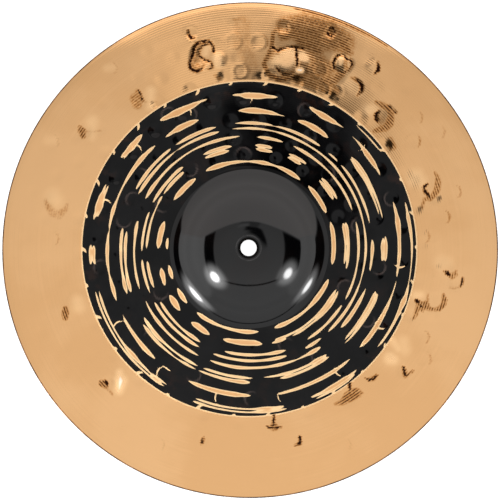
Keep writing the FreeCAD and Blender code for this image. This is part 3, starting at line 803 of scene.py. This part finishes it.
class Graph:
    """Short calls that add nodes to a tree. An input is a number, a colour or a Value."""

    def __init__(self, tree):
        self.tree = tree
        tree.nodes.clear()

    def node(self, kind, inputs=(), **settings):
        made = self.tree.nodes.new("ShaderNode" + kind)
        for name, value in settings.items():
            setattr(made, name, value)
        for key, value in dict(inputs).items():
            if isinstance(value, Value):
                self.tree.links.new(value.socket, made.inputs[key])
            else:
                made.inputs[key].default_value = value
        return made

    def value(self, kind, inputs=(), output=0, **settings):
        """One output of a new node."""
        return Value(self, self.node(kind, inputs, **settings).outputs[output])

    def math(self, operation, first, second=0.0):
        return self.value("Math", {0: first, 1: second}, operation=operation)

    def larger(self, first, second):
        return self.math("MAXIMUM", first, second)

    def rise(self, value, low, high, start=0.0, end=1.0):
        """Goes smoothly from start to end as value goes from low to high."""
        return self.value("MapRange", {"Value": value, "From Min": low, "From Max": high,
                                       "To Min": start, "To Max": end},
                          interpolation_type="SMOOTHSTEP")

    def blend(self, factor, first, second):
        """A colour between two. Sockets 6, 7 and 2 are the ones for colours."""
        return self.value("Mix", {0: factor, 6: first, 7: second}, 2, data_type="RGBA")

    def noise(self, vector, scale, detail=3.0, roughness=0.5):
        return self.value("TexNoise", {"Vector": vector, "Scale": scale, "Detail": detail,
                                       "Roughness": roughness})

    def bump(self, height, distance):
        """A normal for a height of 0 to 1 times a distance in mm."""
        return self.value("Bump", {"Height": height, "Strength": 1.0, "Distance": distance * MM})

    def attribute(self, name):
        return self.value("Attribute", output="Fac", attribute_name=name)

    def place(self):
        """Position in the object's own space, in metres."""
        return self.value("TexCoord", output="Object")

    def radius(self, place):
        """Distance from the cymbal's axis, in metres."""
        flat = self.value("Mapping", {"Vector": place, "Scale": (1, 1, 0)})
        return self.value("VectorMath", {0: flat}, "Value", operation="LENGTH")


def new_material(name):
    material = bpy.data.materials.new(name)
    material.use_nodes = True
    graph = Graph(material.node_tree)
    return material, graph, graph.place()


def finish_material(graph, inputs):
    shader = graph.value("BsdfPrincipled", inputs)
    output = graph.node("OutputMaterial", {"Surface": shader})
    output.is_active_output = True


def rings(graph, place, pitch, wobble):
    """A wave of circles round the axis, 0 to 1, a pitch in mm apart."""
    scale = 2 * math.pi / (20 * pitch * MM)  # at scale 1 the circles are 2 pi / 20 apart
    return graph.value("TexWave", {"Vector": place, "Scale": scale, "Distortion": wobble,
                                   "Detail": 1.0, "Detail Scale": 0.02},
                       "Fac", wave_type="RINGS", rings_direction="Z")


def lathe_grooves(graph, place):
    """Height of the lathe's grooves, about 0 to 1: a fine and a coarse spacing, unevenly cut."""
    return rings(graph, place, 0.9, 1.2) * 0.45 + rings(graph, place, 1.7, 2.0) * 0.55


# ---- materials

BRONZE = (0.84, 0.49, 0.23, 1)
DEEP_BRONZE = (0.78, 0.44, 0.195, 1)
PALE_BRONZE = (0.97, 0.69, 0.385, 1)
HIGHLIGHT_BRONZE = (1.0, 0.62, 0.31, 1)
WHITE_HIGHLIGHT_BRONZE = (1.0, 0.90, 0.74, 1)
TURNED_BRONZE = (0.56, 0.28, 0.11, 1)
HALF_SHADED_BRONZE = (0.50, 0.215, 0.060, 1)
SHADED_BRONZE = (0.14, 0.050, 0.013, 1)
CREASE_SHADE = (0.022, 0.006, 0.003, 1)
PATINA = (0.0004, 0.0004, 0.0006, 1)
PALE_PATINA = (0.0032, 0.0031, 0.0034, 1)
BROWN_PATINA = (0.013, 0.0060, 0.0042, 1)
GLINT_PATINA = (0.050, 0.037, 0.033, 1)
BELL_PATINA, BROWN_BELL_PATINA = (0.0007, 0.0007, 0.0009, 1), (0.0026, 0.0014, 0.0012, 1)
RING_HIGHLIGHT_GREY = (0.03, 0.028, 0.028, 1)
HOLE_SHADE, PALE_HOLE_SHADE = (0.002, 0.002, 0.002, 1), (0.007, 0.005, 0.004, 1)
DULL_EDGE, WORN_EDGE = (0.09, 0.035, 0.012, 1), (0.30, 0.14, 0.055, 1)
DARK_ZONE = (133 * MM, 136 * MM)  # radii between which the dark zone ends
BROWNING = (118 * MM, 134 * MM)  # radii between which the patina turns browner
REFLECTION_PITCH = 2.0  # between the grooves along which the painted reflections are hatched
TURNED_PITCH = 3.4  # between the darker rings on the underside
HIGHLIGHT_RING = 10.1 * MM  # radius of the painted highlight ring round the hole on the bell
CROWN, COATED = 20.0, 46.0  # the coat grows from nothing to full between these


def bronze_colour(graph, place):
    """Polished bronze with broad warm clouds and faint rings from the lathe."""
    cloud = graph.rise(graph.noise(place, 7.0, 4.0, 0.55), 0.35, 0.65)
    ring = graph.value("TexNoise", {"W": graph.radius(place), "Scale": 420.0, "Detail": 2.0},
                       noise_dimensions="1D")
    return graph.blend(graph.rise(cloud * 0.75 + ring * 0.25, 0.2, 0.8), DEEP_BRONZE, BRONZE)


def patina_colour(graph, place):
    """Blackened bronze: almost black, with greyer clouds and a few brown ones, and painted glint lines on
    the rimmed marks.
    """
    clouds = graph.rise(graph.noise(place, 26.0, 5.0, 0.65), 0.38, 0.66)
    brown = graph.rise(graph.noise(place, 60.0, 3.0, 0.6), 0.53, 0.70)
    brown = brown * graph.rise(graph.radius(place), *BROWNING, 0.35, 1.0)
    patina = graph.blend(brown, graph.blend(clouds, PATINA, PALE_PATINA), BROWN_PATINA)
    # Painted glint: a lighter grey line along one side of each rimmed mark.
    return graph.blend(graph.attribute("outline"), patina, GLINT_PATINA)


def with_painted_shade(graph, place, bronze, painted_highlight):
    """Adds the painted dark reflections round the marks, hatched along grooves 2 mm apart, and the
    creases, painted near black as shade inside a brown halo of painted shade.
    """
    grooves = graph.rise(rings(graph, place, REFLECTION_PITCH, 2.0), 0.25, 0.75, 0.4, 1.25)
    blotches = graph.rise(graph.noise(place, 520.0, 3.0, 0.6), 0.32, 0.62, 0.55, 1.2)
    painted_reflection = graph.attribute("painted_reflection")
    # Painted dark reflection: hatched along the grooves, broken into blotches, and weaker under a painted
    # highlight.
    hatched = graph.rise(painted_reflection, 0.3, 0.6, 0.25, 1.0) * (grooves - 1.0) + 1.0
    shade_amount = painted_reflection * (hatched * blotches) * graph.rise(painted_highlight, 0.1, 0.6, 1.0, 0.15)
    wander = graph.rise(graph.noise(place, 420.0, 2.0, 0.6), 0.2, 0.8, -0.55, 0.55)
    crease = graph.attribute("crease") + wander
    # Painted shade: a brown halo round each crease, hatched along the grooves.
    halo = graph.rise(crease, -1.5, 0.1) * graph.rise(grooves, 0.3, 1.3, 0.25, 0.8)
    shade_amount = graph.larger(shade_amount, halo)
    bronze = graph.blend(graph.rise(shade_amount, 0.0, 0.55), bronze, HALF_SHADED_BRONZE)
    bronze = graph.blend(graph.rise(shade_amount, 0.4, 1.0), bronze, SHADED_BRONZE)
    # Painted shade: the crease itself near black.
    return graph.blend(graph.rise(crease, -0.25, 0.35), bronze, CREASE_SHADE)


def make_face():
    """Top of the bow: bright bronze where the lathe cut, dark glossy patina elsewhere."""
    material, graph, place = new_material("two_tone_face")
    bare = graph.attribute("bare_metal")
    painted_highlight = graph.attribute("painted_highlight")
    bright = graph.rise(bare, -0.06, 0.06)
    in_dark_zone = graph.rise(graph.radius(place), *DARK_ZONE, 1.0, 0.0)
    in_cut = graph.larger(graph.rise(bare, 1.0, 2.2, 1.0, 0.0), in_dark_zone)
    cut_edge = graph.rise(bare, 0.4, 1.3, 1.0, 0.0)
    bronze = graph.blend(cut_edge, bronze_colour(graph, place), PALE_BRONZE)
    # Painted highlight: the bronze turns pale, and near white where the mask is strongest.
    bronze = graph.blend(graph.math("MINIMUM", painted_highlight * 1.7, 1.0), bronze, HIGHLIGHT_BRONZE)
    bronze = graph.blend(graph.rise(painted_highlight, 0.85, 1.0), bronze, WHITE_HIGHLIGHT_BRONZE)
    bronze = with_painted_shade(graph, place, bronze, painted_highlight)
    satin = graph.larger(in_cut, graph.rise(painted_highlight, 0.3, 0.85, 0.0, 0.65))
    rough = graph.rise(graph.noise(place, 90.0, 4.0, 0.6), 0.3, 0.7, 0.055, 0.085) + satin * 0.45
    glossy = graph.rise(graph.noise(place, 35.0, 4.0, 0.6), 0.3, 0.7, 0.05, 0.09)
    grooved = lathe_grooves(graph, place) * (bright * 0.8 + 0.2)
    finish_material(graph, {
        "Base Color": graph.blend(bright, patina_colour(graph, place), bronze), "Metallic": bright,
        "Roughness": rough * bright + glossy * (1.0 - bright), "Specular IOR Level": 0.19,
        "Normal": graph.bump(grooved, 0.013)})
    return material


def foot_radius(radius):
    """Radius on the bell's foot where the slope is the same as at a radius on its dome."""
    return FLANK + HOLLOW_CURVE * (FLANK_TILT - (radius - LAND) / DOME_CURVE)


def make_bell():
    """The bell: a glossy black-brown patina under a clear coat that is thicker on the flank."""
    material, graph, place = new_material("bell_patina")
    radius = graph.radius(place)
    brown = graph.rise(graph.noise(place, 22.0, 3.0, 0.6), 0.45, 0.7)
    patina = graph.blend(brown, BELL_PATINA, BROWN_BELL_PATINA)
    # Painted highlight: a lighter grey ring on the bell, 10.1 mm from the axis.
    ring_highlight = graph.rise(abs(radius - HIGHLIGHT_RING), 0.2 * MM, 0.7 * MM, 1.0, 0.0)
    ring_highlight = ring_highlight * graph.rise(graph.noise(place, 90.0, 2.0), 0.35, 0.6, 0.2, 1.0)
    foot = [foot_radius(r) * MM for r in (COATED, CROWN)]
    coat = graph.rise(radius, CROWN * MM, COATED * MM) * graph.rise(radius, *foot, 1.0, 0.0)
    finish_material(graph, {
        "Base Color": graph.blend(ring_highlight, patina, RING_HIGHLIGHT_GREY), "Metallic": 0.0,
        "Roughness": graph.rise(graph.noise(place, 60.0, 4.0, 0.6), 0.3, 0.7, 0.06, 0.09),
        "Specular IOR Level": 0.42, "Coat Weight": coat, "Coat Roughness": 0.07, "Coat IOR": 1.5,
        "Normal": graph.bump(lathe_grooves(graph, place), 0.001)})
    return material


def make_hole_edge():
    """The punched edge of the hole and the ring round it: painted near black as a dark reflection, and
    dull.
    """
    material, graph, place = new_material("hole_edge_painted_dark")
    worn = graph.rise(graph.noise(place, 400.0, 3.0, 0.6), 0.45, 0.75)
    finish_material(graph, {
        "Base Color": graph.blend(worn, HOLE_SHADE, PALE_HOLE_SHADE),
        "Roughness": graph.rise(worn, 0.0, 1.0, 0.30, 0.45), "Specular IOR Level": 0.05})
    return material


def make_edge():
    """The cut edge of the rim: turned bronze, much darker and duller than the face."""
    material, graph, place = new_material("turned_edge")
    worn = graph.rise(graph.noise(place, 120.0, 3.0, 0.6), 0.4, 0.65)
    finish_material(graph, {
        "Base Color": graph.blend(worn, DULL_EDGE, WORN_EDGE), "Metallic": 1.0,
        "Roughness": graph.rise(worn, 0.0, 1.0, 0.38, 0.26)})
    return material


def make_back():
    """The underside: the same two zones, lathed rougher, with the top's painted dark reflections repeated
    faintly.
    """
    material, graph, place = new_material("two_tone_back")
    wander = graph.rise(graph.noise(place, 40.0, 3.0, 0.6), 0.2, 0.8, -0.5, 0.5)
    bright = graph.rise(graph.attribute("bare_metal") + wander, -0.2, 0.2)
    turned = graph.rise(rings(graph, place, TURNED_PITCH, 3.0), 0.15, 0.85)
    turned = turned * graph.rise(graph.noise(place, 30.0, 4.0, 0.65), 0.35, 0.65, 0.1, 0.7)
    bronze = graph.blend(turned, bronze_colour(graph, place), TURNED_BRONZE)
    bronze = with_painted_shade(graph, place, bronze, graph.attribute("painted_highlight"))
    finish_material(graph, {
        "Base Color": graph.blend(bright, patina_colour(graph, place), bronze), "Metallic": bright,
        "Roughness": graph.rise(graph.noise(place, 90.0, 4.0, 0.6), 0.3, 0.7, 0.14, 0.22),
        "Specular IOR Level": 0.22, "Normal": graph.bump(lathe_grooves(graph, place), 0.05)})
    return material


# ---- the studio

CEILING, WALLS, BACK_WALL, GAP = 0.90, 1.20, 1.75, 0.01  # radiance of each surface
LEFT_WALL, RIGHT_WALL = 1.9, 1.6
CEILING_SLOPE = -0.28  # how the ceiling's radiance changes towards +Y
CORNER = 0.8  # the side walls begin where x passes this times y
LOW_WALLS = 0.8  # share of the radiance that is left at the horizon
LAMP, HALO = 40.0, 7.0
COAT_GAIN = 1.19  # how much more the coated flank reflects
WHITE, WARM_WHITE = (1, 1, 1, 1), (1.0, 0.95, 0.93, 1)
FLOOR_PALE, FLOOR_SPECK = (0.70, 0.70, 0.70, 1), (0.74, 0.74, 0.74, 1)
FLOOR_HALF = 6.0  # half the floor's width, in metres

# The studio is given by where a line from the cymbal meets a level plane one unit above it:
# (lowest x, highest x, lowest y, highest y), softness of the edge, radiance.
GAPS = [
    ((-1.47, -0.78, -0.95, 0.46), 0.12, GAP),
    ((0.75, 2.38, -0.95, 0.46), 0.16, GAP),
    ((-0.78, 0.75, -0.87, -0.79), 0.06, GAP),
]
CEILING_BOUNDS, CEILING_SOFTNESS = (-0.78, 0.75, -0.79, 0.46), 0.03
PANELS = [
    ((0.01, 0.16, 0.05, 0.29), 0.07, 0.03),
    ((-0.06, 0.10, 0.19, 0.32), 0.05, 0.03),
    ((-0.02, 0.06, 0.09, 0.20), 0.05, 0.03),
    ((-0.17, -0.02, 0.31, 0.39), 0.05, 1.08),
    ((-0.17, 0.02, 0.42, 0.48), 0.05, 0.55),
]
# The dark card before the ceiling: left side, lowest and highest y, softness and radiance. Its
# right side leans: there x is CARD_LEAN times y less CARD_SHIFT.
CARD = (-0.01, 0.29, 0.47, 0.04, 0.42)
CARD_LEAN, CARD_SHIFT = 0.576, 0.080
BACK_EDGE, BACK_FLARE = 0.48, 0.25  # the back wall's lowest y, and its lower edge's slope
LAMPS = [(-1.1, -0.85, 1.0), (1.27, -0.79, 0.6)]  # middle and strength of the lamps
LAMP_COSINES = [math.cos(math.radians(angle)) for angle in (9, 3)]
HALO_COSINES = [math.cos(math.radians(angle)) for angle in (21, 4)]


def after(value, edge, softness):
    """0 before the edge of a surface, 1 after it."""
    return value.graph.rise(value, edge - softness / 2, edge + softness / 2)


def before(value, edge, softness):
    return value.graph.rise(value, edge - softness / 2, edge + softness / 2, 1.0, 0.0)


def between(value, low, high, softness):
    return after(value, low, softness) * before(value, high, softness)


def inside_panel(x, y, bounds, softness):
    low_x, high_x, low_y, high_y = bounds
    return between(x, low_x, high_x, softness) * between(y, low_y, high_y, softness)


def cover(radiance, mask, level):
    """Lays a surface of the given level over what is behind it."""
    return mask * level + radiance * (1.0 - mask)


def surfaces(graph, x, y):
    """Radiance of the walls, gaps, ceiling and panels, and where the back wall is."""
    wide = abs(x)
    beside = graph.rise(wide - abs(y) * CORNER, 0.0, 1.0)
    radiance = cover(WALLS, beside, graph.rise(x, -0.5, 0.5, LEFT_WALL, RIGHT_WALL))
    for bounds, softness, level in GAPS:
        radiance = cover(radiance, inside_panel(x, y, bounds, softness), level)
    ceiling = (y * CEILING_SLOPE + 1.0) * CEILING
    radiance = cover(radiance, inside_panel(x, y, CEILING_BOUNDS, CEILING_SOFTNESS), ceiling)
    for bounds, softness, level in PANELS:
        radiance = cover(radiance, inside_panel(x, y, bounds, softness), level)
    left, low_y, high_y, softness, level = CARD
    card = after(x, left, softness) * before(x - y * CARD_LEAN, -CARD_SHIFT, softness)
    radiance = cover(radiance, card * between(y, low_y, high_y, softness), level)
    behind = after(y - graph.larger(wide * BACK_FLARE, BACK_EDGE), 0.0, 0.05)
    return cover(radiance, behind, BACK_WALL), behind


def with_lamps(graph, direction, radiance):
    """Adds the lamps, each a bright middle in a wide halo."""
    for lamp_x, lamp_y, strength in LAMPS:
        towards = Vector((lamp_x, lamp_y, 1)).normalized()
        near = graph.value("VectorMath", {0: direction, 1: towards}, "Value",
                           operation="DOT_PRODUCT")
        for cosines, level in ((LAMP_COSINES, LAMP), (HALO_COSINES, HALO)):
            glow = graph.rise(near, *cosines)
            radiance = glow * glow * (level * strength) + radiance
    return radiance


def make_studio():
    """A white studio as the world: a soft ceiling, side walls, a back panel and two lamps."""
    world = bpy.data.worlds.new("studio")
    world.use_nodes = True
    bpy.context.scene.world = world
    graph = Graph(world.node_tree)
    direction = graph.value("TexCoord", output="Generated")
    parts = graph.node("SeparateXYZ", {0: direction}).outputs
    up = graph.larger(abs(Value(graph, parts["Z"])), 0.001)
    radiance, behind = surfaces(graph, Value(graph, parts["X"]) / up, Value(graph, parts["Y"]) / up)
    radiance = radiance * graph.rise(up, 0.0, 0.3, LOW_WALLS, 1.0)
    radiance = with_lamps(graph, direction, radiance)
    # Directions that a coated slope of the bell mirrors are dimmed by as much as the coat adds.
    tilt = graph.math("SQRT", 0.5 * (1.0 - up))
    coat = graph.rise(tilt, *((r - LAND) / DOME_CURVE for r in (CROWN, COATED)))
    radiance = radiance / (coat * COAT_GAIN + 1.0)
    seen = graph.value("LightPath", output="Is Camera Ray")
    colour = graph.blend(seen, graph.blend(behind, WHITE, WARM_WHITE), WHITE)
    light = graph.value("Background", {"Color": colour, "Strength": cover(radiance, seen, 1.0)})
    graph.node("OutputWorld", {"Surface": light})


def make_floor():
    """A pale floor, open to the eye from below."""
    material, graph, place = new_material("pale_floor")
    away = graph.value("VectorMath", {0: place}, "Value", operation="LENGTH")
    surface = graph.value("BsdfPrincipled", {
        "Base Color": graph.blend(graph.noise(place, 300.0, 2.0), FLOOR_PALE, FLOOR_SPECK),
        "Roughness": 0.7, "Emission Color": WHITE,
        # Painted light: the floor glows, 0.6 far out and up to 1.0 within 0.10 m of the axis, so it stays
        # white where the cymbal shades it and through the hole.
        "Emission Strength": graph.rise(away, 0.10, 0.18, 1.0, 0.6)})
    under = graph.value("NewGeometry", output="Backfacing")
    both = graph.value("MixShader", {0: under, 1: surface, 2: graph.value("BsdfTransparent")})
    graph.node("OutputMaterial", {"Surface": both})
    mesh = bpy.data.meshes.new("floor")
    corners = [(x * FLOOR_HALF, y * FLOOR_HALF, 0) for x, y in ((-1, -1), (1, -1), (1, 1), (-1, 1))]
    mesh.from_pydata(corners, [], [(0, 1, 2, 3)])
    mesh.materials.append(material)
    floor = bpy.data.objects.new("floor", mesh)
    floor.location.z = CAD_BOX[0].z - 0.1 * MM
    floor.visible_glossy = False
    bpy.context.scene.collection.objects.link(floor)


def make_camera():
    """Nearly straight above, leaning a little towards +X and -Y."""
    lean_x, lean_y, distance = 0.0209, -0.0305, 2.0
    aim = Vector((0.33, -0.5, -38.0)) * MM
    back = Vector((math.sin(lean_x), math.sin(lean_y), 0))
    back.z = math.sqrt(1 - back.length_squared)
    data = bpy.data.cameras.new("camera")
    data.sensor_width = 36.0
    share = 0.992  # how much of the picture's half width the disc fills
    data.lens = data.sensor_width / 2 * share * distance / (RIM * MM)
    camera = bpy.data.objects.new("camera", data)
    camera.location = aim + back * distance
    forward = -back
    right = forward.cross(Vector((0, 1, 0))).normalized()
    up = right.cross(forward)
    turn = camera.matrix_world.to_3x3()
    turn.col[0], turn.col[1], turn.col[2] = right, up, back
    camera.rotation_mode = "QUATERNION"
    camera.rotation_quaternion = turn.to_quaternion()
    bpy.context.scene.collection.objects.link(camera)
    bpy.context.scene.camera = camera


def main():
    bpy.context.scene.view_settings.view_transform = "Standard"
    cymbal = make_cymbal([make_face(), make_bell(), make_hole_edge(), make_edge(), make_back()])
    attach(cymbal, "root")
    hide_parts(NODE)
    make_studio()
    make_floor()
    make_camera()


main()
